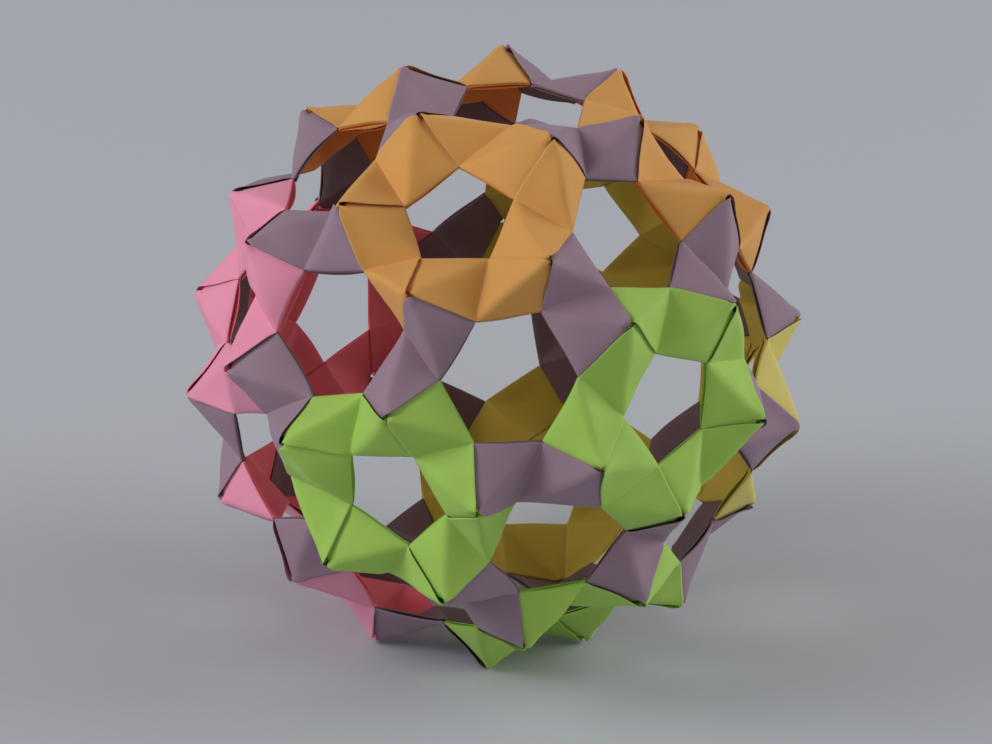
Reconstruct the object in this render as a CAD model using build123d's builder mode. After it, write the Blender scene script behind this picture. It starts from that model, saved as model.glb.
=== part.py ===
from build123d import *
import os
from math import acos, pi, radians, sin, cos, sqrt

import numpy as np

# A folded paper ball of ninety equal units, plugged together with no glue.
# Its plan is a truncated icosahedron: twelve pentagons and twenty hexagons
# are open holes, each of the sixty corners is a three-sided peak, and one
# folded unit lies over each of the ninety edges. Sixty units stand in rings
# of five round the pentagons and thirty link units join ring to ring.
#
# A unit is one square sheet, pleated in four to a strip and folded across.
# Its middle is two squares of the strip that meet at a valley crease. Past
# the crease at each end the strip is turned over to a triangular tab, which
# sits in the open pleat of the next unit round the peak.
#
# +Z is up. The ball stands on a hexagon, and the origin is at its centre.

# The sheet and its folds, in millimetres
sheet_side = 90.0
pleat_count = 4
paper = 0.1
layer_gap = 0.1
tab_layers = 8
pocket_play = 0.1
mouth_play = 0.15
crease_width = 0.5
tab_edge_play = 0.7
tab_end_play = 1.0

# How freely the joints of the ball give, as shares of the strip's width, and
# the angle through which the middle crease likes to stay folded
edge_slack = 0.02
long_diagonal_slack = 0.03
cross_diagonal_slack = 0.06
crease_fold = radians(68)
crease_slack = radians(8)

strip_width = sheet_side / pleat_count
leaf_thickness = 2 * paper + layer_gap
tab_thickness = tab_layers * paper
pocket_half = tab_thickness / 2 + pocket_play
unit_half = pocket_half + leaf_thickness


# Turns of the plan. The frame of one corner has its own pentagon on +Z, and
# the pentagon that the corner points to leans from there towards +X.


def turned(axis, angle):
    """Rotation matrix about an axis through the ball's centre."""
    x, y, z = axis / np.linalg.norm(axis)
    cross = np.array([[0, -z, y], [z, 0, -x], [-y, x, 0]])
    return np.eye(3) + sin(angle) * cross + (1 - cos(angle)) * cross @ cross


pentagon_step = 2 * pi / 5
pentagon_lean = acos(1 / sqrt(5))
own_pentagon = np.array([0.0, 0.0, 1.0])
next_pentagon = np.array([sin(pentagon_lean), 0.0, cos(pentagon_lean)])
stay = np.eye(3)
round_ring = turned(own_pentagon, pentagon_step)
across_link = turned(own_pentagon + next_pentagon, pi)

# Each peak has four points: its apex, a foot at its pentagon, and a foot at
# the hexagon on its left and on its right. A unit's corners are points of
# two peaks, so each is named by a point and the turn that carries it there.
APEX, FOOT, LEFT, RIGHT = range(4)
ring_corners = {
    "tip_1": (RIGHT, round_ring @ across_link),
    "apex_1": (APEX, round_ring),
    "side_1": (RIGHT, round_ring),
    "top": (LEFT, stay),
    "bottom": (FOOT, round_ring),
    "side_2": (FOOT, stay),
    "apex_2": (APEX, stay),
    "tip_2": (LEFT, round_ring.T),
}
link_corners = {
    "tip_1": (FOOT, round_ring),
    "apex_1": (APEX, stay),
    "side_1": (LEFT, stay),
    "top": (RIGHT, across_link),
    "bottom": (RIGHT, stay),
    "side_2": (LEFT, across_link),
    "apex_2": (APEX, across_link),
    "tip_2": (FOOT, across_link @ round_ring),
}

# The same corners on the flat strip, in strip widths from the middle of the
# valley crease, and the facets that the folds leave between them
flat_corners = {
    "tip_1": (-2, 0.5),
    "apex_1": (-1, -0.5),
    "side_1": (-1, 0.5),
    "top": (0, 0.5),
    "bottom": (0, -0.5),
    "side_2": (1, -0.5),
    "apex_2": (1, 0.5),
    "tip_2": (2, -0.5),
}
first_half = [("apex_1", "top", "side_1"), ("apex_1", "bottom", "top")]
second_half = [("bottom", "apex_2", "top"), ("bottom", "side_2", "apex_2")]
tab_facets = [("apex_1", "side_1", "tip_1"), ("apex_2", "side_2", "tip_2")]


# The ball settles where its joints strain least. Paper hardly stretches, so
# each edge stays near one strip width, each diagonal near its flat length
# and each middle crease near the angle that it was folded to.


def at(corners, name, points):
    """Where a unit's corner lies, from the points of the peak."""
    point, turn = corners[name]
    return turn @ points[point]


def fold_between(start, end, left, right):
    """Angle through which the sheet is folded along the line from start to end."""
    along = (end - start) / np.linalg.norm(end - start)
    one = left - start - ((left - start) @ along) * along
    other = right - start - ((right - start) @ along) * along
    return pi - acos(one @ other / np.linalg.norm(one) / np.linalg.norm(other))


def strain(points):
    """How far each joint is from rest, in units of its own slack."""
    out = []
    for corners, ends in ((ring_corners, 2), (link_corners, 1)):
        squares = [("apex_1", "side_1", "top", "bottom"), ("apex_2", "side_2", "bottom", "top")]
        for names in squares[:ends]:
            apex, side, far, mouth = (at(corners, name, points) for name in names)
            for one, other in ((apex, side), (side, far), (far, mouth), (mouth, apex)):
                out.append((np.linalg.norm(one - other) - 1) / edge_slack)
            out.append((np.linalg.norm(apex - far) - sqrt(2)) / long_diagonal_slack)
            out.append((np.linalg.norm(side - mouth) - sqrt(2)) / cross_diagonal_slack)
        crease = (at(corners, name, points) for name in ("bottom", "top", "apex_1", "apex_2"))
        out.append((fold_between(*crease) - crease_fold) / crease_slack)
    return np.array(out)


def settled_points():
    """The four points of a peak, for a strip one wide, where the strain is least."""
    centre = 2 * own_pentagon + next_pentagon
    centre = centre / np.linalg.norm(centre)
    openings = [own_pentagon]
    for turn in (round_ring, round_ring.T):
        openings.append(own_pentagon + next_pentagon + turn @ next_pentagon)
    start = [5 * centre]
    for opening in openings:
        outwards = opening - (opening @ centre) * centre
        start.append(4.5 * centre + 0.8 * outwards / np.linalg.norm(outwards))
    points = np.array(start)
    damping = 1.0
    step = 1e-6
    error = strain(points)
    for _ in range(300):
        nudges = step * np.eye(12).reshape(12, 4, 3)
        slope = np.array([(strain(points + nudge) - error) / step for nudge in nudges]).T
        change = np.linalg.solve(slope.T @ slope + damping * np.eye(12), -slope.T @ error)
        trial = strain(points + change.reshape(4, 3))
        if trial @ trial < error @ error:
            points = points + change.reshape(4, 3)
            error = trial
            damping = damping / 3
        else:
            damping = 4 * damping
        if np.linalg.norm(change) < 1e-10:
            break
    return points


peak_points = strip_width * settled_points()


# Every point of the ball's middle surface has one direction in which paper
# is stacked there, shared by all the units that meet. A layer at one height
# then never crosses a layer at another height, of any unit.


def stacking_directions():
    """Direction at each point of a peak along which every facet there grows equally thick."""
    normals = {APEX: [], FOOT: [], LEFT: [], RIGHT: []}
    for corners, facets in ((ring_corners, first_half + second_half), (link_corners, first_half)):
        for facet in facets:
            one, two, three = (at(corners, name, peak_points) for name in facet)
            normal = np.cross(two - one, three - one)
            for name in facet:
                point, turn = corners[name]
                normals[point].append(turn.T @ normal / np.linalg.norm(normal))
    return [np.linalg.lstsq(np.array(near), np.ones(len(near)), rcond=None)[0] for near in normals.values()]


stacking = stacking_directions()


# The strip is a hair narrower than its plan, so that its borders clear the
# next units. Each of its corners is drawn in along a fold to another corner.
drawn_towards = {
    "apex_1": "top",
    "side_1": "apex_1",
    "top": "bottom",
    "bottom": "top",
    "side_2": "apex_2",
    "apex_2": "bottom",
}
draw_in = mouth_play / strip_width


def flat_place(name):
    """Where a corner of the plan lies on the flat strip."""
    return strip_width * np.array(flat_corners[name])


def over_facet(facet, value):
    """What a value is at the corners of a facet, when it is known at the corners of the plan."""
    if facet in tab_facets:
        return np.array([value(name) for name in facet])
    return np.array([(1 - draw_in) * value(name) + draw_in * value(drawn_towards[name]) for name in facet])


def folded(panels, corners, low, high):
    """Solid layer of a unit between two heights, from flat outlines and the facet that each lies on."""
    skins = []
    sides = {}
    for facet, outline in panels:
        flat = over_facet(facet, flat_place)
        middle = over_facet(facet, lambda name: at(corners, name, peak_points))
        upwards = over_facet(facet, lambda name: at(corners, name, stacking))
        to_shares = np.linalg.inv(np.vstack([flat.T, np.ones(3)]))
        spots = [edge @ 0 for edge in outline.face().outer_wire().order_edges()]
        shares = [to_shares @ (spot.X, spot.Y, 1) for spot in spots]
        under = [Vector(*(share @ (middle + low * upwards))) for share in shares]
        over = [Vector(*(share @ (middle + high * upwards))) for share in shares]
        skins += [Face(Wire.make_polygon(under)), Face(Wire.make_polygon(over))]
        for i, spot in enumerate(spots):
            ends = frozenset((round(place.X, 6), round(place.Y, 6)) for place in (spots[i - 1], spot))
            sides.setdefault(ends, []).append((under[i - 1], under[i], over[i], over[i - 1]))
    outer_sides = [found[0] for found in sides.values() if len(found) == 1]
    for one, two, three, four in outer_sides:
        skins += [Face(Wire.make_polygon([one, two, three])), Face(Wire.make_polygon([one, three, four]))]
    return Solid(Shell(skins))


# Flat outlines, in millimetres from the middle of the valley crease. A leaf
# is the whole strip, panel by panel. Each end is drawn at the first end, and
# half a turn carries it to the second.
leaf = []
for facet in first_half + second_half:
    with BuildSketch() as panel:
        Polygon(*over_facet(facet, flat_place), align=None)
    leaf.append((facet, panel.sketch))

# The closed end joins the leaves along the pleat and along the outer crease
closed_facets = (first_half[0], second_half[1])
closed_corners = over_facet(closed_facets[0], flat_place)
with BuildSketch() as closed_end:
    Polygon(*closed_corners, align=None)
    with Locations((crease_width, -crease_width)):
        Polygon(*closed_corners, align=None, mode=Mode.SUBTRACT)

# The tab is rooted in the closed end. Its long edge runs beside the ridge
# that it props up in the next unit, and its short edge stops at the crease.
tab_root = -strip_width + crease_width / 2
tab_low = -strip_width / 2 + sqrt(2) * tab_edge_play - crease_width / 2
tab_high = strip_width / 2 - tab_end_play
with BuildSketch() as tab:
    with BuildLine():
        tab_point = tab_root + tab_low - tab_high
        Polyline((tab_root, tab_high), (tab_root, tab_low), (tab_point, tab_high), close=True)
    make_face()


def unit(corners):
    """One folded sheet: two leaves, the closed ends that join them, and two tabs."""
    layers = [folded(leaf, corners, pocket_half, unit_half), folded(leaf, corners, -unit_half, -pocket_half)]
    for turn, closed_facet, tab_facet in zip((0, 180), closed_facets, tab_facets):
        closed_panel = (closed_facet, closed_end.sketch.rotate(Axis.Z, turn))
        tab_panel = (tab_facet, tab.sketch.rotate(Axis.Z, turn))
        layers.append(folded([closed_panel], corners, -pocket_half, pocket_half))
        layers.append(folded([tab_panel], corners, -tab_thickness / 2, tab_thickness / 2))
    with BuildPart() as sheet:
        add(layers)
    return sheet.part


ring_unit = unit(ring_corners)
link_unit = unit(link_corners)

# The twelve pentagons look out along the corners of an icosahedron, and the
# hexagons along the middles of its faces. The ball has one hexagon on top and
# stands on the one below, and one of its pentagons faces the front, -Y.
golden = (1 + sqrt(5)) / 2
corners_of_plan = []
for one in (1, -1):
    for other in (1, -1):
        corners_of_plan += [(0, one, other * golden), (one, other * golden, 0), (other * golden, 0, one)]
top_hexagon = Vector(-1, 0, golden**2)
front_pentagon = Vector(0, 1, golden)
ball = Plane(origin=(0, 0, 0), x_dir=top_hexagon.cross(front_pentagon), z_dir=top_hexagon)
pentagons = [ball.to_local_coords(Vector(*corner)).normalized() for corner in corners_of_plan]


def on_pentagon(own, other):
    """Frame of a pentagon, with +Z outwards and a neighbour pentagon above +X."""
    lean = pentagons[other] - pentagons[own] * pentagons[own].dot(pentagons[other])
    return Plane(origin=(0, 0, 0), x_dir=lean, z_dir=pentagons[own])


neighbours = [
    [other for other, axis in enumerate(pentagons) if 0 < axis.dot(own) < 0.9]
    for own in pentagons
]

# Each colour's three rings stand round one hexagon, and those four hexagons
# are as far apart as they can be. The links are all of a fifth colour.
ring_colours = ["orange", "green", "pink", "green", "pink", "orange"]
ring_colours += ["orange", "green", "pink", "yellow", "yellow", "yellow"]

os.makedirs("parts", exist_ok=True)

for own, colour in enumerate(ring_colours):
    with BuildPart(on_pentagon(own, neighbours[own][0])) as ring:
        with PolarLocations(0, 5):
            add(ring_unit)
    number = ring_colours[: own + 1].count(colour)
    ring.part.label = f"{colour}_ring_{number}"
    export_step(ring.part, f"parts/{ring.part.label}.step")

links = [(own, other) for own in range(len(pentagons)) for other in neighbours[own] if own < other]
for number, (own, other) in enumerate(links, start=1):
    with BuildPart(on_pentagon(own, other)) as link:
        add(link_unit)
    link.part.label = f"lilac_link_{number:02d}"
    export_step(link.part, f"parts/{link.part.label}.step")
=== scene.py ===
# %% [markdown]
# # A ball of ninety folded paper units
#
# The ball is made of ninety square sheets. Each is pleated to a strip four
# layers thick, folded across its middle, and plugged by its two ends into its
# neighbours. The frame gives every unit as one plain solid. This script lays
# a real pleated sheet in the place of each, gives it a paper finish, and
# lights it on a pale table.

# %% Load the frame
from math import acos, cos, pi, radians, sin, sqrt

import bpy
import numpy as np
from mathutils import Matrix, Vector


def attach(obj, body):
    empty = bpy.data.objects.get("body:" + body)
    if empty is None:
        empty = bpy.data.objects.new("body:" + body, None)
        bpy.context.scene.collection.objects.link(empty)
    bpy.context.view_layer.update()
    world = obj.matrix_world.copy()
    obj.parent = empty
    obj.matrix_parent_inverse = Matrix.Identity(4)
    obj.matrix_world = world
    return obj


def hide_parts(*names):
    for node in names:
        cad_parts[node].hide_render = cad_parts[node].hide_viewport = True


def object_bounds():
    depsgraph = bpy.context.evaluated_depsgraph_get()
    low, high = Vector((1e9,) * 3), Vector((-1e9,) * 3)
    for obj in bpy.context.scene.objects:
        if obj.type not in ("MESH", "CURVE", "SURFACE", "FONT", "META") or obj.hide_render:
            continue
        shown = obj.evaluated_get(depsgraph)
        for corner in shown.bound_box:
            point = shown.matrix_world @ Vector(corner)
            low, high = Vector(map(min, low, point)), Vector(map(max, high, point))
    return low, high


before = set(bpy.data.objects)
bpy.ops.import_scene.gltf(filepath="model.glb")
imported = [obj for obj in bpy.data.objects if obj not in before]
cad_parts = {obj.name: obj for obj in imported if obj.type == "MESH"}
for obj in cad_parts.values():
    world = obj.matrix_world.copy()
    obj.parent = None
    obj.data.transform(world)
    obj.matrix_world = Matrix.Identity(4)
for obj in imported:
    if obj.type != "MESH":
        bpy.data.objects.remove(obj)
cad_low, cad_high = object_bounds()
print("frame:", len(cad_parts), "nodes, lowest point", round(cad_low.z, 4))

# %% [markdown]
# The camera comes first, because every later choice of detail depends on how
# large a sheet of paper shows. The picture was taken from well back with a
# long lens, a little above the ball and a little to its right, and the camera
# was not held quite level. A long lens keeps the far side of the ball nearly
# as large as the near side. A camera can be aimed by a tracking constraint,
# but a turn worked out from three angles gives the tilt of the camera too.

# %% Camera
PICTURE = (992, 744)
CAMERA_DISTANCE = 1.856
CAMERA_TURN = radians(18.70)
CAMERA_RISE = radians(23.45)
CAMERA_ROLL = radians(5.75)
SENSOR = 36.0
LENS = 199.0
BALL_IN_PICTURE = (495.3, 356.5)


def look(turn, rise, roll):
    """Turn of a camera that looks at the ball from the right of the front, and from above."""
    back = Vector((sin(turn) * cos(rise), -cos(turn) * cos(rise), sin(rise)))
    right = Vector((cos(turn), sin(turn), 0))
    up = back.cross(right)
    level = Matrix((right, up, back)).transposed()
    return level @ Matrix.Rotation(roll, 3, "Z")


camera = bpy.data.objects.new("camera", bpy.data.cameras.new("camera"))
bpy.context.scene.collection.objects.link(camera)
bpy.context.scene.camera = camera
camera.data.lens = LENS
camera.data.sensor_width = SENSOR
camera.rotation_mode = "QUATERNION"
facing = look(CAMERA_TURN, CAMERA_RISE, CAMERA_ROLL)
metres_per_pixel = CAMERA_DISTANCE * SENSOR / LENS / PICTURE[0]
aside = Vector((
    (PICTURE[0] / 2 - BALL_IN_PICTURE[0]) * metres_per_pixel,
    (BALL_IN_PICTURE[1] - PICTURE[1] / 2) * metres_per_pixel,
    CAMERA_DISTANCE,
))
camera.location = facing @ aside
camera.rotation_quaternion = facing.to_quaternion()
print("camera:", [round(v, 3) for v in camera.location])
print("one pixel is", round(metres_per_pixel * 1000, 2), "mm at the ball")

# %% [markdown]
# Paper hardly stretches, so the shape of the ball can be worked out from the
# sheet alone, and nothing has to be modelled by eye. The sizes are those of
# the frame's own source, here in metres. A unit is known by eight corners on
# the flat strip: two apexes, where three units meet in a peak, the corners of
# the squares beside them, and the tips of the two hidden tabs. Six triangular
# facets lie between these corners. Places on the flat strip are given in
# strip widths, from the middle of the crease.

# %% The sheet
SHEET_SIDE = 0.090
PLEATS = 4
PAPER = 0.0001
STRIP = SHEET_SIDE / PLEATS
HALF = STRIP / 2

FLAT = {
    "tip_1": (-2, 0.5),
    "apex_1": (-1, -0.5),
    "side_1": (-1, 0.5),
    "top": (0, 0.5),
    "bottom": (0, -0.5),
    "side_2": (1, -0.5),
    "apex_2": (1, 0.5),
    "tip_2": (2, -0.5),
}
FACETS = [
    ("apex_1", "side_1", "tip_1"),
    ("apex_1", "top", "side_1"),
    ("apex_1", "bottom", "top"),
    ("bottom", "apex_2", "top"),
    ("bottom", "side_2", "apex_2"),
    ("apex_2", "side_2", "tip_2"),
]
print("strip width", STRIP * 1000, "mm, so", round(STRIP / metres_per_pixel), "pixels in the picture")

# %% [markdown]
# All peaks of the even ball are alike. Each has four points: the apex, a foot
# at the border of its ring's hole, and one to the left and one to the right,
# at the borders of two hexagon holes. Every corner of a unit is one of these
# four points, turned round its ring or across to the next ring. So four
# points are all that has to be found, and the two kinds of unit, in a ring
# and in a link, differ only in which turned points they use.

# %% Corners shared by the units
RING_UNITS = 5
lean = acos(1 / sqrt(5))
own_pentagon = np.array([0.0, 0.0, 1.0])
next_pentagon = np.array([sin(lean), 0.0, cos(lean)])


def turned(axis, angle):
    """Rotation matrix about an axis through the ball's centre."""
    x, y, z = axis / np.linalg.norm(axis)
    cross = np.array([[0, -z, y], [z, 0, -x], [-y, x, 0]])
    return np.eye(3) + sin(angle) * cross + (1 - cos(angle)) * cross @ cross


stay = np.eye(3)
round_ring = turned(own_pentagon, 2 * pi / RING_UNITS)
across_link = turned(own_pentagon + next_pentagon, pi)
APEX, FOOT, LEFT, RIGHT = range(4)
RING = {
    "tip_1": (RIGHT, round_ring @ across_link),
    "apex_1": (APEX, round_ring),
    "side_1": (RIGHT, round_ring),
    "top": (LEFT, stay),
    "bottom": (FOOT, round_ring),
    "side_2": (FOOT, stay),
    "apex_2": (APEX, stay),
    "tip_2": (LEFT, round_ring.T),
}
LINK = {
    "tip_1": (FOOT, round_ring),
    "apex_1": (APEX, stay),
    "side_1": (LEFT, stay),
    "top": (RIGHT, across_link),
    "bottom": (RIGHT, stay),
    "side_2": (LEFT, across_link),
    "apex_2": (APEX, across_link),
    "tip_2": (FOOT, across_link @ round_ring),
}
print("two pentagons lean", round(lean * 180 / pi, 1), "degrees apart")

# %% [markdown]
# A real ball settles where its joints strain least: the edges keep their
# length, the diagonals nearly so, and the middle crease keeps the angle that
# it was pressed to. A cloth simulation would look for that shape too, but
# cloth gives more than paper, and it would not end where the frame's solids
# are. So the strain of each edge, diagonal and crease is written as a number,
# in the same way as in the frame's source.

# %% Strain of the joints
EDGE_SLACK = 0.02
LONG_SLACK = 0.03
CROSS_SLACK = 0.06
CREASE_FOLD = radians(68)
CREASE_SLACK = radians(8)


def at(corners, name, points):
    """Where a unit's corner lies, from the four points of a peak."""
    point, turn = corners[name]
    return turn @ points[point]


def fold_between(start, end, left, right):
    """Angle through which the sheet is folded along the line from start to end."""
    along = (end - start) / np.linalg.norm(end - start)
    one = left - start - ((left - start) @ along) * along
    other = right - start - ((right - start) @ along) * along
    return pi - acos(one @ other / np.linalg.norm(one) / np.linalg.norm(other))


def strain(points):
    """How far each joint is from rest, in units of its own slack. Both ends of a link are alike."""
    out = []
    for corners, ends in ((RING, 2), (LINK, 1)):
        squares = [("apex_1", "side_1", "top", "bottom"), ("apex_2", "side_2", "bottom", "top")]
        for names in squares[:ends]:
            apex, side, far, mouth = (at(corners, name, points) for name in names)
            for one, other in ((apex, side), (side, far), (far, mouth), (mouth, apex)):
                out.append((np.linalg.norm(one - other) - 1) / EDGE_SLACK)
            out.append((np.linalg.norm(apex - far) - sqrt(2)) / LONG_SLACK)
            out.append((np.linalg.norm(side - mouth) - sqrt(2)) / CROSS_SLACK)
        crease = (at(corners, name, points) for name in ("bottom", "top", "apex_1", "apex_2"))
        out.append((fold_between(*crease) - CREASE_FOLD) / CREASE_SLACK)
    return np.array(out)


print("an edge has a slack of", round(EDGE_SLACK * STRIP * 1000, 2), "mm")

# %% [markdown]
# The four points start on a rough ball. Each round nudges every coordinate a
# little, sees how the strain answers, and steps to where it should be least.
# A step that makes things worse is not taken, and the next one is shorter.

# %% Settle the ball
START_APEX_OUT = 5
START_OTHERS_OUT = 4.5
START_ASIDE = 0.8
NUDGE = 1e-6
ROUNDS = 300
SMALLEST_STEP = 1e-10
LOOSEN = 3
TIGHTEN = 4


def rough_points():
    """The apex above the middle of a joint, and the other points towards the three openings."""
    centre = 2 * own_pentagon + next_pentagon
    centre = centre / np.linalg.norm(centre)
    farther = [turn @ next_pentagon for turn in (round_ring, round_ring.T)]
    openings = [own_pentagon] + [own_pentagon + next_pentagon + far for far in farther]
    points = [START_APEX_OUT * centre]
    for opening in openings:
        outwards = opening - (opening @ centre) * centre
        sideways = START_ASIDE * outwards / np.linalg.norm(outwards)
        points.append(START_OTHERS_OUT * centre + sideways)
    return np.array(points)


def settled():
    """The four points of a peak, for a strip one wide, where the strain is least."""
    points, damping = rough_points(), 1.0
    error = strain(points)
    each = np.eye(points.size)
    for _ in range(ROUNDS):
        nudges = NUDGE * each.reshape(-1, *points.shape)
        slope = np.array([(strain(points + nudge) - error) / NUDGE for nudge in nudges]).T
        change = np.linalg.solve(slope.T @ slope + damping * each, -slope.T @ error)
        trial = strain(points + change.reshape(points.shape))
        if trial @ trial < error @ error:
            points, error = points + change.reshape(points.shape), trial
            damping = damping / LOOSEN
        else:
            damping = damping * TIGHTEN
        if np.linalg.norm(change) < SMALLEST_STEP:
            break
    return points


PEAK = STRIP * settled()
print("apexes lie", round(np.linalg.norm(PEAK[APEX]) * 1000, 1), "mm from the centre")

# %% [markdown]
# Paper is stacked at right angles to its face. At a corner several faces
# meet, each with its own right angle, so the stack there leans and is longer,
# like the mitre of a frame. That direction is the one which comes nearest to
# one thickness on all the faces, which is a small least squares problem.

# %% Direction of the stack at each point


def stacking():
    """Direction at each point of a peak in which paper is stacked, from the facets that meet there."""
    normals = {APEX: [], FOOT: [], LEFT: [], RIGHT: []}
    for corners, facets in ((RING, FACETS[1:5]), (LINK, FACETS[1:3])):
        for facet in facets:
            one, two, three = (at(corners, name, PEAK) for name in facet)
            normal = np.cross(two - one, three - one)
            for name in facet:
                point, turn = corners[name]
                normals[point].append(turn.T @ normal / np.linalg.norm(normal))
    directions = []
    for near in normals.values():
        direction, *_ = np.linalg.lstsq(np.array(near), np.ones(len(near)), rcond=None)
        directions.append(direction)
    return directions


STACK = stacking()
print("at an apex the stack is", round(np.linalg.norm(STACK[APEX]), 2), "times as long as on a face")

# %% [markdown]
# A sharp fold line on a mesh looks like folded metal. Real paper bends round
# a crease with a radius of a few tenths of a millimetre. The ridge that the
# hidden tab props up is crisp at the apex and fades to a wide gentle bend at
# its far corner, on the crease. Where eight layers crowd together at an apex,
# the outer crease is blunt. A bevel would give every fold one radius, so the
# rounding is worked out instead, as a ramp that starts softly at each line.

# %% Soft folds
CREASE_SOFT = 0.00025
OUTER_SOFT = 0.00025
BLUNT_SOFT = 0.0012
BLUNT_REACH = 0.005
RIDGE_SHARP = 0.0003
RIDGE_SOFT = 0.0014
RIDGE_FADE = 0.8


def smooth(t):
    """Smooth step from 0 to 1."""
    t = np.clip(t, 0, 1)
    return t * t * (3 - 2 * t)


def near_apex(x, y, reach):
    """1 at a unit's two apexes, falling to 0 at a distance from them on the flat strip."""
    first = np.hypot(x + STRIP, y + HALF)
    second = np.hypot(x - STRIP, y - HALF)
    return smooth(1 - np.minimum(first, second) / reach)


def soft_ramp(distance, radius):
    """Nothing before a fold line, the distance after it, and a rounded start between."""
    rounded = (distance + radius) ** 2 / (4 * radius)
    return np.where(distance < -radius, 0, np.where(distance > radius, distance, rounded))


def fold_ramps(x, y):
    """How far each flat place is past the five fold lines of a unit, with softened starts."""
    from_crease = np.minimum(np.abs(x), STRIP) / STRIP
    ridge = RIDGE_SHARP + (RIDGE_SOFT - RIDGE_SHARP) * (1 - from_crease) ** RIDGE_FADE
    outer = OUTER_SOFT + (BLUNT_SOFT - OUTER_SOFT) * near_apex(x, y, BLUNT_REACH)
    return [
        soft_ramp(-x - STRIP, outer),
        soft_ramp((x + STRIP - y - HALF) / sqrt(2), ridge),
        soft_ramp(x, CREASE_SOFT),
        soft_ramp((x - y - HALF) / sqrt(2), ridge),
        soft_ramp(x - STRIP, outer),
    ]


print("a ridge softens from", RIDGE_SHARP * 1000, "to", RIDGE_SOFT * 1000, "mm")

# %% [markdown]
# Between two folds the strip is flat, so its folded place is one linear map
# for each facet, and crossing a fold line adds a turn that grows with the
# distance past the line. Armature bones or bend modifiers could fold a plane
# too, but each would be a step to set up and to keep in tune. One sum of maps
# and ramps folds the whole strip, and its layers, in one go.

# %% The folded strip


def folded_strip(corners):
    """Function from flat places to folded places and stacking directions, for one kind of unit."""
    maps = []
    for facet in FACETS:
        flat = np.array([[*(STRIP * np.array(FLAT[name])), 1] for name in facet])
        value = [np.concatenate([at(corners, name, PEAK), at(corners, name, STACK)]) for name in facet]
        maps.append(np.linalg.solve(flat, np.array(value)))
    steps = [maps[i + 1] - maps[i] for i in range(len(maps) - 1)]

    def turn(step, spot):
        """What one metre past a fold line adds, at a flat spot one metre past it."""
        return np.array([*spot, 1]) @ step

    diagonal = 1 / sqrt(2)
    turns = [
        -turn(steps[0], (-STRIP - 1, 0)),
        turn(steps[1], (-STRIP + diagonal, -HALF - diagonal)),
        turn(steps[2], (1, 0)),
        turn(steps[3], (diagonal, -HALF - diagonal)),
        turn(steps[4], (STRIP + 1, 0)),
    ]

    def place(x, y):
        """Folded places and stacking directions of flat places."""
        value = np.stack([x, y, np.ones_like(x)], axis=-1) @ maps[1]
        for ramp, added in zip(fold_ramps(x, y), turns):
            value = value + ramp[..., None] * added
        return value[..., :3], value[..., 3:]

    return place


folding = {"ring": folded_strip(RING), "link": folded_strip(LINK)}
print("kinds of folded strip:", ", ".join(folding))

# %% [markdown]
# The sheet runs back and forth across the strip four times, like a fan, so
# one border of a unit shows two folds and the other shows one fold between
# two cut edges. The neighbour's tab lies in a pocket between two of the
# layers. Where it does, they stand a millimetre apart. Three small things
# make it look like paper and not like plates. The lips of the pocket lift off
# the ridge that comes out of them. The faces bulge, so they darken towards a
# crease. The inner layers spring away from the outer ones along the border of
# a hole. Sculpting them by hand would take ninety sheets of work. As heights
# above the strip, worked out from the flat place, they come on all sheets at
# once, and the layers keep their order.

# %% Pocket, lips, bulge and spring
POCKET = 0.0005
PRESSED = 0.00003
POCKET_EDGE = 0.0018
MOUTH_CORNER = 0.0003
CREASE_CORNER = 0.0015
LIP_LIFT = 0.0008
LIP_DEPTH = 0.004
LIP_REACH = 0.011
LIP_START = 0.001
LIP_END = 0.002
SPRING_DEPTH = 0.007
SPRING_FULLNESS = 0.7


def pocket_opening(x, y):
    """Half the height of the pocket, from the flat place, for the first half of a unit."""
    from_turn = x + STRIP
    from_mouth = y + HALF
    from_pleat = HALF - y
    by_corner = (from_turn + MOUTH_CORNER) / (from_mouth + MOUTH_CORNER)
    by_crease = (from_pleat + CREASE_CORNER) / (np.abs(x) + CREASE_CORNER)
    at_turn = np.maximum(from_turn / POCKET_EDGE, by_corner)
    at_pleat = np.maximum(from_pleat / POCKET_EDGE, by_crease)
    return PRESSED + (POCKET - PRESSED) * smooth(at_turn) * smooth(at_pleat)


def lip_lift(x, y, flare):
    """How far the upper lip of the pocket stands off, for the first half of a unit."""
    near = smooth(1 - (y + HALF) / LIP_DEPTH)
    along = smooth((x + STRIP) / LIP_START) * smooth(-x / LIP_END)
    return near * along * (flare + LIP_LIFT * near_apex(x, y, LIP_REACH))


def bulge(x, y):
    """Pillow shape of each square: 1 in its middle and 0 along its borders."""
    return np.sin(pi * np.clip(np.abs(x) / STRIP, 0, 1)) * np.sin(pi * np.clip(y / STRIP + 0.5, 0, 1))


def sprung(x, y):
    """How far an inner layer springs off along a closed border, for the first half of a unit."""
    along = np.sin(pi * np.clip(-x / STRIP, 0, 1)) ** SPRING_FULLNESS
    return along * smooth(1 - (HALF - y) / SPRING_DEPTH)


print("a pocket is", 2 * POCKET * 1000, "mm high, its lip", LIP_LIFT * 1000, "mm more at the apex")

# %% [markdown]
# The pocket lies between the second and third layers in one half of a unit,
# and between the first and second in the other half, where its mouth is at
# the other border. The layers change over within a millimetre of the middle
# crease. All of them sink a little at the apexes, where three units crowd
# together. The four layers could be four objects, but as rows of one mesh
# they stay joined at the folds, as the real sheet is.

# %% Heights of the four layers
LAYER_STEP = 0.00016
CHANGE_OVER = 0.001
BULGE_BELOW = 0.3
APEX_SINK = 0.0009
APEX_REACH = 0.0045


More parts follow.
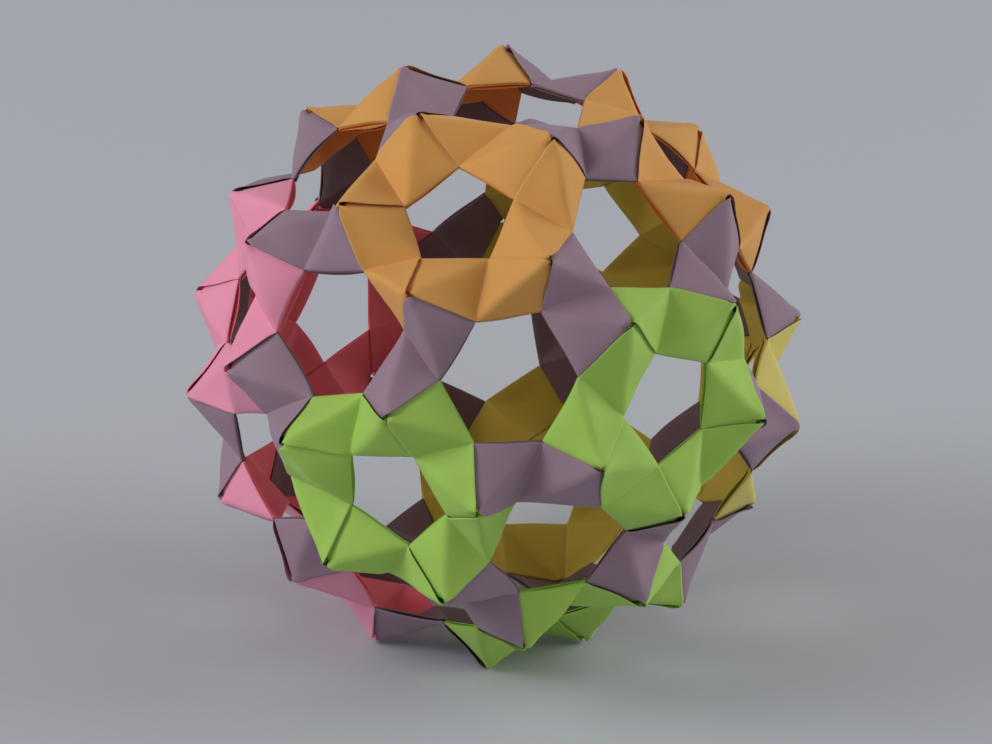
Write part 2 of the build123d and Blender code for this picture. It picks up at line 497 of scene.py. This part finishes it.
def layer_heights(x, y, habit):
    """Heights of the four layers above the middle of the unit, at each flat place."""
    halves = []
    for end, (u, v) in enumerate(((np.minimum(x, 0), y), (-np.maximum(x, 0), -y))):
        pocket = pocket_opening(u, v)
        pillow = bulge(u, v)
        above = pocket + lip_lift(u, v, habit["lip"][end]) + habit["bulge"][end] * pillow
        below = -pocket - BULGE_BELOW * habit["bulge"][end] * pillow
        halves.append((above, below, habit["spring"][end] * sprung(u, v)))
    (above_1, below_1, loose_1), (above_2, below_2, loose_2) = halves
    first = (above_1, above_1, below_1, below_1 - loose_1)
    second = (above_2, below_2, below_2 - loose_2, below_2 - loose_2)
    change = smooth((x + CHANGE_OVER) / (2 * CHANGE_OVER))
    sink = APEX_SINK * near_apex(x, y, APEX_REACH)
    heights = []
    for layer in range(PLEATS):
        step = ((PLEATS - 1) / 2 - layer) * LAYER_STEP
        heights.append(step + (1 - change) * first[layer] + change * second[layer] - sink)
    return heights


print("four flat layers are", round((PLEATS - 1) * LAYER_STEP * 1000, 2), "mm from first to last")

# %% [markdown]
# The sheet becomes a grid of places: columns along the strip, and rows that
# run down the first layer, back up the second, and so on. An even grid would
# need many times the triangles for the same creases, so the lines of this one
# crowd together near the folds, where the paper bends. The places are written
# in millimetres from one fold to the next, and used as shares of that.

# %% Grid of the sheet
LINES_MM = (0, 0.15, 0.8, 2.6, 4.9, 7.3, 9.9, 12.6, 15.2, 17.6, 19.9, 21.7, 22.35, 22.5)
LINES = np.array(LINES_MM) / LINES_MM[-1]
TAB_LINES = np.array([0.03, 0.2, 0.42, 0.64, 0.82])


def sheet_rows():
    """For each row: its share of the way across, its layer, and whether the next layer starts there."""
    rows = []
    for layer in range(PLEATS):
        shares = LINES[::-1] if layer % 2 == 0 else LINES
        first_row = 0 if layer == 0 else 1
        for share in shares[first_row:]:
            at_fold = share == shares[-1] and layer < PLEATS - 1
            rows.append((share, layer, at_fold))
    return rows


COLUMNS = [*(-1 - TAB_LINES[::-1]), *(-1 + LINES), *LINES[1:], *(1 + TAB_LINES)]
ROWS = sheet_rows()
ALONG = np.tile(COLUMNS, (len(ROWS), 1))
SHARE = np.repeat([[share] for share, _, _ in ROWS], len(COLUMNS), axis=1)
LAYER = np.repeat([[layer] for _, layer, _ in ROWS], len(COLUMNS), axis=1)
print("one sheet is a grid of", len(COLUMNS), "by", len(ROWS), "places")

# %% [markdown]
# Each layer ends a little inside the border of the strip, so two units side
# by side never share a place. The tab tapers from its fold to its tip, as it
# has to slide into the pocket, and it keeps clear of the pocket's folds.

# %% Borders of the layers
BORDER_INSET = 0.0002
APEX_INSET = 0.0008
TAB_EDGE_INSET = 0.0016
TAB_END_INSET = 0.0020


def rows_across(x, share):
    """Flat places across the strip, between the borders of each layer."""
    low = -HALF + BORDER_INSET + APEX_INSET * smooth(1 - np.abs(x + STRIP) / APEX_REACH)
    high = HALF - BORDER_INSET - APEX_INSET * smooth(1 - np.abs(x - STRIP) / APEX_REACH)
    beyond = np.maximum(np.abs(x) - STRIP, 0)
    first_tab = (beyond > 0) & (x < 0)
    second_tab = (beyond > 0) & (x > 0)
    low = np.where(first_tab, -HALF + beyond + TAB_EDGE_INSET, low)
    high = np.where(first_tab, HALF - TAB_END_INSET, high)
    high = np.where(second_tab, HALF - beyond - TAB_EDGE_INSET, high)
    low = np.where(second_tab, -HALF + TAB_END_INSET, low)
    in_body = np.clip(-HALF + share * STRIP, low, high)
    return np.where(beyond > 0, low + share * (high - low), in_body)


tab_width = STRIP - TAB_EDGE_INSET - TAB_END_INSET
print("a tab tapers from", round(tab_width * 1000, 1), "mm to less than one")

# %% [markdown]
# No two sheets are folded quite alike. Each gets its own habit from a seeded
# draw: how far its lips flare, how its faces bulge, how its inner layers
# spring open, and a shallow ripple. Then the heights are added to the folded
# strip. The rows where one layer turns into the next lie halfway between both.

# %% One pleated sheet
HABITS = {
    "lip": (0.0003, 0.0009),
    "bulge": (0.0002, 0.0010),
    "spring": (0.0003, 0.0014),
}
RIPPLE = 0.00012
RIPPLE_ACROSS = 7
RIPPLE_SHIFT = 3


def unit_sheet(place, random):
    """Places of one pleated and folded sheet, row by row."""
    habit = {name: random.uniform(*span, 2) for name, span in HABITS.items()}
    wave = random.uniform(-1, 1, 3)
    x = ALONG * STRIP
    y = rows_across(x, SHARE)
    heights = layer_heights(np.clip(x, -STRIP, STRIP), y, habit)
    height = np.choose(LAYER, heights)
    for row, (_, layer, at_fold) in enumerate(ROWS):
        if at_fold:
            height[row] = (heights[layer][row] + heights[layer + 1][row]) / 2
    ripple = wave[0] * np.sin(2 * pi * x / STRIP)
    ripple = ripple + wave[1] * np.cos(RIPPLE_ACROSS * y / STRIP + RIPPLE_SHIFT * wave[2])
    in_tab = np.abs(x) - STRIP > 0
    height = height + np.where(in_tab, 0, RIPPLE * ripple * bulge(x, y))
    middle, upwards = place(x, y)
    return middle + height[..., None] * upwards


trial_sheet = unit_sheet(folding["ring"], np.random.default_rng(0))
print("one folded sheet spans", np.round(np.ptp(trial_sheet, axis=(0, 1)) * 1000, 1), "mm")

# %% [markdown]
# The grid's cells become triangles. Four-cornered faces would be fewer, but
# each would be split wherever it bends anyway. So every cell is cut here in
# the direction of the ridges, and a ridge runs along edges, not across them.

# %% Triangles of the grid


def grid_triangles():
    """Triangles of the grid, each cell cut along the way the ridges run."""
    across = len(COLUMNS)
    triangles = []
    for i in range(len(ROWS) - 1):
        downwards = ROWS[i + 1][1] % 2 == 0
        for j in range(across - 1):
            a, b = i * across + j, i * across + j + 1
            c, d = a + across, b + across
            if downwards:
                triangles += [(a, c, b), (c, d, b)]
            else:
                triangles += [(a, c, d), (a, d, b)]
    return triangles


TRIANGLES = grid_triangles()
print("triangles on one face of a sheet:", len(TRIANGLES))

# %% [markdown]
# The twelve rings and thirty links take their places round the ball. The
# twelve pentagons look out along the corners of an icosahedron, and the ball
# stands on the hexagon between three of them. Each node of the frame becomes
# one piece: five sheets in a ring, one in a link.

# %% Places round the ball
STANDS_BETWEEN = (3, 8, 9)
golden = (1 + sqrt(5)) / 2
plan = []
for one in (1, -1):
    for other in (1, -1):
        plan += [(0, one, other * golden), (one, other * golden, 0), (other * golden, 0, one)]
plan = np.array(plan) / sqrt(1 + golden**2)
up = -sum(plan[i] for i in STANDS_BETWEEN)
up = up / np.linalg.norm(up)
right = np.cross(up, plan[0])
right = right / np.linalg.norm(right)
pentagons = plan @ np.array([right, np.cross(up, right), up]).T
neighbours = []
for axis in pentagons:
    beside = np.isclose(pentagons @ axis, cos(lean))
    neighbours.append([i for i in range(len(pentagons)) if beside[i]])
print(len(pentagons), "pentagons, each beside", len(neighbours[0]), "others")

# %% [markdown]
# A unit is folded once, beside the pentagon that looks up, and then turned to
# its place. Duplicating objects with a parent would do that too, but plain
# rotation matrices keep each sheet's points in the ball's own frame, where
# the unevenness of the whole ball can be added to them. The rings of one
# colour lie together in a patch of three, and each link joins two rings.

# %% Pieces and their turns
RING_COLOURS = {"orange": (0, 5, 6), "green": (1, 3, 7), "pink": (2, 4, 8), "yellow": (9, 10, 11)}


def on_pentagon(own, other):
    """Rotation that carries a unit to a pentagon, with a neighbour pentagon above its +X."""
    z = pentagons[own]
    x = pentagons[other] - (pentagons[other] @ z) * z
    x = x / np.linalg.norm(x)
    return np.array([x, np.cross(z, x), z]).T


pieces = []
for colour, places in RING_COLOURS.items():
    for number, own in enumerate(places, start=1):
        first = on_pentagon(own, neighbours[own][0])
        turns = [first @ turned(own_pentagon, 2 * pi * k / RING_UNITS) for k in range(RING_UNITS)]
        pieces.append((f"{colour}_ring_{number}", colour, "ring", turns))
links = [(own, other) for own in range(len(pentagons)) for other in neighbours[own] if own < other]
for number, (own, other) in enumerate(links, start=1):
    pieces.append((f"lilac_link_{number:02d}", "lilac", "link", [on_pentagon(own, other)]))
print(len(pieces), "pieces,", sum(len(turns) for *_, turns in pieces), "sheets")

# %% [markdown]
# Every finish is written in sRGB hex values, as they are read from a colour
# card, and one function turns them to the linear values that a shader works
# with. One more function adds a node, sets it and links it, so that a
# material below reads as a list of its nodes.

# %% Helpers for materials


def linear(hex_colour):
    """Linear colour of an sRGB hex value."""
    shares = [int(hex_colour[i : i + 2], 16) / 255 for i in (1, 3, 5)]
    return [s / 12.92 if s <= 0.04045 else ((s + 0.055) / 1.055) ** 2.4 for s in shares] + [1.0]


def add_node(tree, kind, settings=None, links=None):
    """One node, with its settings and what is linked into it."""
    node = tree.nodes.new(kind)
    for name, value in (settings or {}).items():
        if isinstance(name, str) and hasattr(node, name):
            setattr(node, name, value)
        else:
            node.inputs[name].default_value = value
    for name, source in (links or {}).items():
        tree.links.new(source, node.inputs[name])
    return node


print("middle grey is", round(linear("#808080")[0], 3), "in linear light")

# %% [markdown]
# The paper is coloured memo-cube paper: uncoated, dyed through, about eighty
# grams to the square metre. That gives the eye a flat, slightly cloudy colour
# with no gloss, a very fine tooth, and pale lines along the folds: partly wear
# where a fold has been pressed and rubbed, partly a painted highlight on the
# crease. Its shine is that of rough fibres with the usual index of 1.5, and a
# little fuzz catches the light at a slant. Fibres are far finer than a pixel
# here, so the tooth is drawn about a third of a millimetre wide, as coarse as
# it must be to show.
# The inside of the real ball looks much deeper in colour than the outside,
# and deeper than plain paper does in a render, as it lies in shade and sees
# only dyed paper. Less light would only darken it, so that shade is painted
# into the three layers below the outermost one, as a deeper colour.

# %% Colours of the paper
PAPER_COLOURS = {
    "orange": "#DDA050",
    "green": "#A5CF58",
    "pink": "#EE96B4",
    "yellow": "#D6C868",
    "lilac": "#987D90",
}
# Painted shade: the three inner layers take these deeper colours in place of the shade and coloured
# bounce light inside the ball.
INNER_SHADE_COLOURS = {
    "orange": "#E07C27",
    "green": "#8CC337",
    "pink": "#EB6576",
    "yellow": "#C8B03E",
    "lilac": "#745A64",
}
CLOUD_DEPTH = 0.86
# Pale fold lines: partly rubbed wear, partly a painted highlight on the crease.
WORN_AND_HIGHLIT_DYE = 0.90
WORN_AND_HIGHLIT_WHITE = 0.07


def dye_tones(colour):
    """Linear tones of one paper: where the dye is dense, as dyed, pale along folds as wear and painted
    highlight, and the painted shade of the inner layers.
    """
    full = linear(PAPER_COLOURS[colour])
    deep = [v * CLOUD_DEPTH for v in full[:3]] + [1.0]
    worn_and_highlit = [v * WORN_AND_HIGHLIT_DYE + WORN_AND_HIGHLIT_WHITE for v in full[:3]] + [1.0]
    return deep, full, worn_and_highlit, linear(INNER_SHADE_COLOURS[colour])


print("papers:", ", ".join(PAPER_COLOURS))

# %% [markdown]
# The clouds, the tooth, and the fold lines of wear and painted highlight are
# procedural, so they need no picture and stay sharp at any distance. The mesh
# carries three numbers at each point for them: the tone of its sheet, the
# distance from the nearest fold, and whether it is in an inner layer, which
# takes the painted shade. The fold lines are half a millimetre wide, and broken
# up by the same clouds as the dye, as wear is never even.

# %% Paper finish
FIBRE_MM = 0.35
CLOUD_MM = 9.0
FOLD_LINE_MM = 0.5
CLOUD_SHARE = 0.5
CLOUD_START = 0.1
FIBRE_SHARE = 0.35
TOOTH_STRENGTH = 0.25
TOOTH_HEIGHT = 0.00006
PAPER_ROUGHNESS = 0.75
PAPER_SPECULAR = 0.5
PAPER_FUZZ = 0.08


def memo_paper(colour):
    """Uncoated coloured paper, dyed through, with pale fold lines of wear and painted highlight, and
    painted shade on its inner layers.
    """
    material = bpy.data.materials.new(f"uncoated_memo_paper_{colour}")
    material.use_nodes = True
    tree = material.node_tree
    tree.nodes.clear()
    deep, full, worn_and_highlit, inner_shade = dye_tones(colour)
    where = add_node(tree, "ShaderNodeTexCoord").outputs["Object"]
    clouds = {"Scale": 1000 / CLOUD_MM, "Detail": 3.0}
    cloud = add_node(tree, "ShaderNodeTexNoise", clouds, {"Vector": where}).outputs["Fac"]
    fibres = {"Scale": 1000 / FIBRE_MM, "Detail": 4.0}
    fibre = add_node(tree, "ShaderNodeTexNoise", fibres, {"Vector": where}).outputs["Fac"]
    tone = add_node(tree, "ShaderNodeAttribute", {"attribute_name": "sheet_tone"}).outputs["Fac"]
    fold = add_node(tree, "ShaderNodeAttribute", {"attribute_name": "from_fold"}).outputs["Fac"]
    inner = add_node(tree, "ShaderNodeAttribute", {"attribute_name": "inner_layer_shade"}).outputs["Fac"]

    mottling = {"operation": "MULTIPLY_ADD", 1: CLOUD_SHARE, 2: CLOUD_START}
    mottle = add_node(tree, "ShaderNodeMath", mottling, {0: cloud}).outputs[0]
    speckling = {"operation": "MULTIPLY_ADD", 1: FIBRE_SHARE}
    speckle = add_node(tree, "ShaderNodeMath", speckling, {0: fibre, 2: mottle}).outputs[0]
    shade = add_node(tree, "ShaderNodeMath", {"operation": "ADD"}, {0: speckle, 1: tone}).outputs[0]
    dyeing = {"data_type": "RGBA", 6: deep, 7: full}
    body = add_node(tree, "ShaderNodeMix", dyeing, {0: shade}).outputs[2]

    # Pale fold lines, partly wear and partly a painted highlight.
    fading = {"From Max": FOLD_LINE_MM, "To Min": 1.0, "To Max": 0.0}
    line = add_node(tree, "ShaderNodeMapRange", fading, {"Value": fold}).outputs["Result"]
    wear_and_highlight = add_node(tree, "ShaderNodeMath", {"operation": "MULTIPLY"}, {0: line, 1: cloud}).outputs[0]
    rubbing_and_highlight = {"data_type": "RGBA", 7: worn_and_highlit}
    with_worn_highlit_folds = add_node(tree, "ShaderNodeMix", rubbing_and_highlight, {0: wear_and_highlight, 6: body}).outputs[2]
    # Painted shade: the inner layers get their deeper colour here.
    inner_shade_lining = {"data_type": "RGBA", 7: inner_shade}
    with_inner_shade = add_node(tree, "ShaderNodeMix", inner_shade_lining, {0: inner, 6: with_worn_highlit_folds}).outputs[2]

    bumps = {"Strength": TOOTH_STRENGTH, "Distance": TOOTH_HEIGHT}
    tooth = add_node(tree, "ShaderNodeBump", bumps, {"Height": fibre}).outputs["Normal"]
    surface = {
        "Roughness": PAPER_ROUGHNESS,
        "Specular IOR Level": PAPER_SPECULAR,
        "Sheen Weight": PAPER_FUZZ,
    }
    linked = {"Base Color": with_inner_shade, "Normal": tooth}
    shader = add_node(tree, "ShaderNodeBsdfPrincipled", surface, linked)
    add_node(tree, "ShaderNodeOutputMaterial", links={"Surface": shader.outputs[0]})
    return material


papers = {colour: memo_paper(colour) for colour in PAPER_COLOURS}
print("paper finishes:", len(papers))

# %% [markdown]
# A ball made by hand is not quite round. It could be squeezed with a lattice,
# but a lattice is one more object to keep, and waves do the same by a formula.
# Long waves carry every point by about a millimetre, shorter ones dent and
# swell the ball as much again, and the shortest buckle it within one sheet.
# They are the same for all sheets, so what was plugged together stays so.

# %% Waves through the ball
SEED = 90
WANDER = 0.0007
WANDER_LENGTHS = (0.16, 0.11)
DENT = 0.0017
DENT_LENGTHS = (0.06, 0.045)
BUCKLE_SEED = 91
BUCKLE = 0.0006
BUCKLE_LENGTHS = (0.030, 0.024)


def slow_waves(lengths, random):
    """For each length, the run of three waves through the ball and where each starts."""
    waves = []
    for length in lengths:
        along = random.normal(size=(3, 3))
        along = along / np.linalg.norm(along, axis=1, keepdims=True) * 2 * pi / length
        waves.append((along, random.uniform(0, 2 * pi, 3)))
    return waves


def swings(spots, waves):
    """For each wave length, its three swings between -1 and 1 at each spot."""
    return [np.sin(spots @ along.T + phase) for along, phase in waves]


random = np.random.default_rng(SEED)
wander_waves = slow_waves(WANDER_LENGTHS, random)
dent_waves = slow_waves(DENT_LENGTHS, random)
buckle_waves = slow_waves(BUCKLE_LENGTHS, np.random.default_rng(BUCKLE_SEED))
print("lengths of the waves:", [*WANDER_LENGTHS, *DENT_LENGTHS, *BUCKLE_LENGTHS], "m")

# %% [markdown]
# Waves alone give some uneven ball, and the real one has its own bumps. So
# twenty listed tugs pull peaks and corners that face the camera towards
# their places on the real ball. Each is the point of a peak, named by the two
# pentagons beside it, with a pull to the right and upwards as the camera sees
# it. A tug fades out over about a strip's width, so what is near follows. The
# waves still move these corners too, so a tug brings its corner about half
# the way and seldom all of it.

# %% Tugs
TUG_REACH = 0.016
TUGS = [
    (1, 2, APEX, 0, 4.6),
    (7, 0, APEX, 0, 4.9),
    (0, 1, RIGHT, 5.2, 1.5),
    (1, 0, LEFT, 3.9, -0.4),
    (1, 2, RIGHT, 4.2, -1.6),
    (1, 7, RIGHT, -3.9, 0.6),
    (5, 0, LEFT, -4.1, 0.3),
    (0, 1, APEX, -3.1, 0.2),
    (0, 7, APEX, 2.7, -1.7),
    (0, 5, APEX, 3.0, 0.5),
    (1, 3, APEX, -0.8, -3.1),
    (1, 7, APEX, -1.0, -2.6),
    (1, 3, LEFT, -1.4, -2.9),
    (5, 7, APEX, -2.3, 2.7),
    (7, 5, APEX, 2.6, 1.5),
    (11, 3, APEX, -0.2, 3.5),
    (5, 11, APEX, 1.8, 2.8),
    (2, 1, APEX, 2.5, -0.3),
    (0, 2, LEFT, 2.4, 0.9),
    (0, 7, RIGHT, -2.5, 1.9),
]
tugs = []
for own, other, point, right_mm, up_mm in TUGS:
    centre = on_pentagon(own, other) @ PEAK[point]
    pull = np.array(facing @ Vector((right_mm, up_mm, 0))) / 1000
    tugs.append((centre, pull))
longest = max(np.linalg.norm(pull) for _, pull in tugs)
print(len(tugs), "tugs, the longest", round(longest * 1000, 1), "mm")

# %% [markdown]
# All these moves are added up. Near the peaks an outward move is held back,
# so that no peak reaches past the frame's solids, and the peaks that the ball
# stands on stay on the table. At last the whole ball is made a little
# smaller, since each real fold takes up some of the paper's width.

# %% The ball made by hand
BALL_RADIUS = 0.1065
ROOM_DEPTH = 0.016
STANDING_DEPTH = 0.02
FOLD_LOSS = 0.9915


def wandered(spots):
    """Spots of the even ball, moved to those of a ball made by hand."""
    push = sum(WANDER * swing for swing in swings(spots, wander_waves))
    for centre, pull in tugs:
        near = np.exp(-(((spots - centre) / TUG_REACH) ** 2).sum(axis=1, keepdims=True))
        push = push + near * pull
    radius = np.linalg.norm(spots, axis=1, keepdims=True)
    outwards = (push * spots).sum(axis=1, keepdims=True) / radius
    dents = sum(DENT * swing.mean(axis=1, keepdims=True) for swing in swings(spots, dent_waves))
    buckles = sum(BUCKLE * swing.mean(axis=1, keepdims=True) for swing in swings(spots, buckle_waves))
    room = smooth((BALL_RADIUS - radius) / ROOM_DEPTH)
    wanted = outwards + (dents + buckles)
    push = push + (np.where(wanted > 0, wanted * room, wanted) - outwards) * spots / radius
    standing = smooth((spots[:, 2:] - cad_low.z) / STANDING_DEPTH)
    push[:, 2:] = push[:, 2:] * standing
    return FOLD_LOSS * (spots + push)


even = PEAK @ on_pentagon(0, 1).T
moved = np.linalg.norm(wandered(even) - even, axis=1)
print("the four points of one peak move by", np.round(moved * 1000, 1), "mm")

# %% [markdown]
# The pale fold lines, which are part wear and part painted highlight, need to
# know how far each point is from a fold. Painting that by hand would take
# ninety sheets of care, and the flat strip knows it already: folds run along
# the middle crease, the two ends, the pleats and the ridges. The ridges are
# pressed less, so their line is a little fainter.

# %% Distance from the folds
RIDGE_FAINTER_MM = 0.2


def from_fold():
    """Millimetres from the nearest fold, for each place of the grid."""
    x, y = ALONG, SHARE - 0.5
    crease = np.abs(x)
    turns = np.abs(crease - 1)
    pleats = 0.5 - np.abs(y)
    ridges = np.minimum(np.abs(x + 0.5 - y), np.abs(x - 0.5 - y)) / sqrt(2)
    nearest = np.minimum(np.minimum(crease, turns), pleats)
    return np.minimum(nearest * STRIP * 1000, ridges * STRIP * 1000 + RIDGE_FAINTER_MM).ravel()


fold_distances = from_fold()
# Mask of the inner layers, which take the painted shade.
shaded_inner_layers = (LAYER > 0).astype(float).ravel()
print("farthest place from a fold:", round(fold_distances.max(), 1), "mm")

# %% [markdown]
# Now the sheets are laid. Each is folded, turned to its place and moved with
# the ball, and gets a tone of its own, because no two sheets of a memo cube
# are dyed quite alike. The thickness of the paper is given last, to a whole
# piece at once, by a modifier: it keeps the thickness even round every fold.

# %% Lay the sheets
TONE_SPAN = (-0.15, 0.35)


def lay(name, colour, kind, turns):
    """One piece: the sheets of a node, each turned to its place."""
    spots, faces, tones = [], [], []
    for turn in turns:
        sheet = wandered(unit_sheet(folding[kind], random).reshape(-1, 3) @ turn.T)
        faces += [tuple(len(spots) + i for i in triangle) for triangle in TRIANGLES]
        spots += sheet.tolist()
        tones += [random.uniform(*TONE_SPAN)] * len(sheet)
    mesh = bpy.data.meshes.new(name + "_paper")
    mesh.from_pydata(spots, [], faces)
    mesh.shade_smooth()
    carried = {
        "sheet_tone": tones,
        "from_fold": np.tile(fold_distances, len(turns)),
        "inner_layer_shade": np.tile(shaded_inner_layers, len(turns)),
    }
    for attribute, values in carried.items():
        mesh.attributes.new(attribute, "FLOAT", "POINT").data.foreach_set("value", values)
    mesh.materials.append(papers[colour])
    piece = bpy.data.objects.new(name + "_paper", mesh)
    bpy.context.scene.collection.objects.link(piece)
    thick = piece.modifiers.new("paper_thickness", "SOLIDIFY")
    thick.thickness = PAPER
    thick.offset = 0
    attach(piece, "root")
    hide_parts(name)
    return piece


laid = [lay(*piece) for piece in pieces]
print("laid", len(laid), "pieces,", sum(len(o.data.polygons) for o in laid), "triangles before thickness")

# %% [markdown]
# The table is covered with matt pale card. A curved backdrop would hide the
# end of a short table, but the camera looks down on the ball, so one flat
# sheet of six metres fills the picture. Card is pressed smooth and not
# glazed, so it has no gloss, and shows only a hint of grain, drawn a few
# millimetres wide so that it shows at all.

# %% Table
TABLE_COLOUR = "#BEC3CD"
TABLE_SIZE = 6.0
GRAIN_MM = 2.5
GRAIN_DEPTH = 0.97
CARD_ROUGHNESS = 0.9
CARD_SPECULAR = 0.2


def matt_card():
    """Matt pale card, with a faint unevenness."""
    material = bpy.data.materials.new("matt_pale_card")
    material.use_nodes = True
    tree = material.node_tree
    tree.nodes.clear()
    full = linear(TABLE_COLOUR)
    deep = [v * GRAIN_DEPTH for v in full[:3]] + [1.0]
    where = add_node(tree, "ShaderNodeTexCoord").outputs["Object"]
    scale = {"Scale": 1000 / GRAIN_MM, "Detail": 3.0}
    grain = add_node(tree, "ShaderNodeTexNoise", scale, {"Vector": where}).outputs["Fac"]
    tones = {"data_type": "RGBA", 6: deep, 7: full}
    body = add_node(tree, "ShaderNodeMix", tones, {0: grain}).outputs[2]
    surface = {"Roughness": CARD_ROUGHNESS, "Specular IOR Level": CARD_SPECULAR}
    shader = add_node(tree, "ShaderNodeBsdfPrincipled", surface, {"Base Color": body})
    add_node(tree, "ShaderNodeOutputMaterial", links={"Surface": shader.outputs[0]})
    return material


edge = TABLE_SIZE / 2
corners = [(-edge, -edge, 0), (edge, -edge, 0), (edge, edge, 0), (-edge, edge, 0)]
table_mesh = bpy.data.meshes.new("table_top")
table_mesh.from_pydata(corners, [], [(0, 1, 2, 3)])
table_mesh.materials.append(matt_card())
floor = bpy.data.objects.new("table_top", table_mesh)
floor.location.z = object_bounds()[0].z
bpy.context.scene.collection.objects.link(floor)
print("table top at", round(floor.location.z, 4))

# %% [markdown]
# The ball stands between two windows, one in front on the left and one behind
# on the right, as the light and dark sides of its facets show. One lamp and
# an even fill would leave the right side flat. Both lamps are wide squares,
# so the shadows are soft. The rest of the room gives an even light: its walls
# are bright and its ceiling is dimmer, which keeps the tops of the peaks from
# washing out. The walls are a little warm, and the windows are plain white.

# %% Light
ROOM_COLOUR = "#FFFBF5"
WALL_LIGHT = 0.52
CEILING_LIGHT = 0.24


def soft_window(name, place, size, power):
    """Square soft lamp that shines on the ball."""
    lamp = bpy.data.objects.new(name, bpy.data.lights.new(name, "AREA"))
    lamp.data.size = size
    lamp.data.energy = power
    lamp.location = place
    lamp.rotation_euler = Vector(place).to_track_quat("Z", "Y").to_euler()
    bpy.context.scene.collection.objects.link(lamp)
    return lamp


windows = [
    soft_window("left_window", place=(-1.80, -1.36, 1.20), size=1.2, power=33.0),
    soft_window("right_window", place=(2.04, 1.38, 1.10), size=1.8, power=35.0),
]
room = bpy.data.worlds.new("room")
room.use_nodes = True
background = room.node_tree.nodes["Background"]
background.inputs["Color"].default_value = linear(ROOM_COLOUR)
heading = add_node(room.node_tree, "ShaderNodeTexCoord").outputs["Generated"]
height = add_node(room.node_tree, "ShaderNodeSeparateXYZ", links={"Vector": heading}).outputs["Z"]
dimmer = {"To Min": WALL_LIGHT, "To Max": CEILING_LIGHT}
level = add_node(room.node_tree, "ShaderNodeMapRange", dimmer, {"Value": height})
room.node_tree.links.new(level.outputs["Result"], background.inputs["Strength"])
bpy.context.scene.world = room
bpy.context.scene.view_settings.view_transform = "Standard"
print("windows:", [window.name for window in windows])
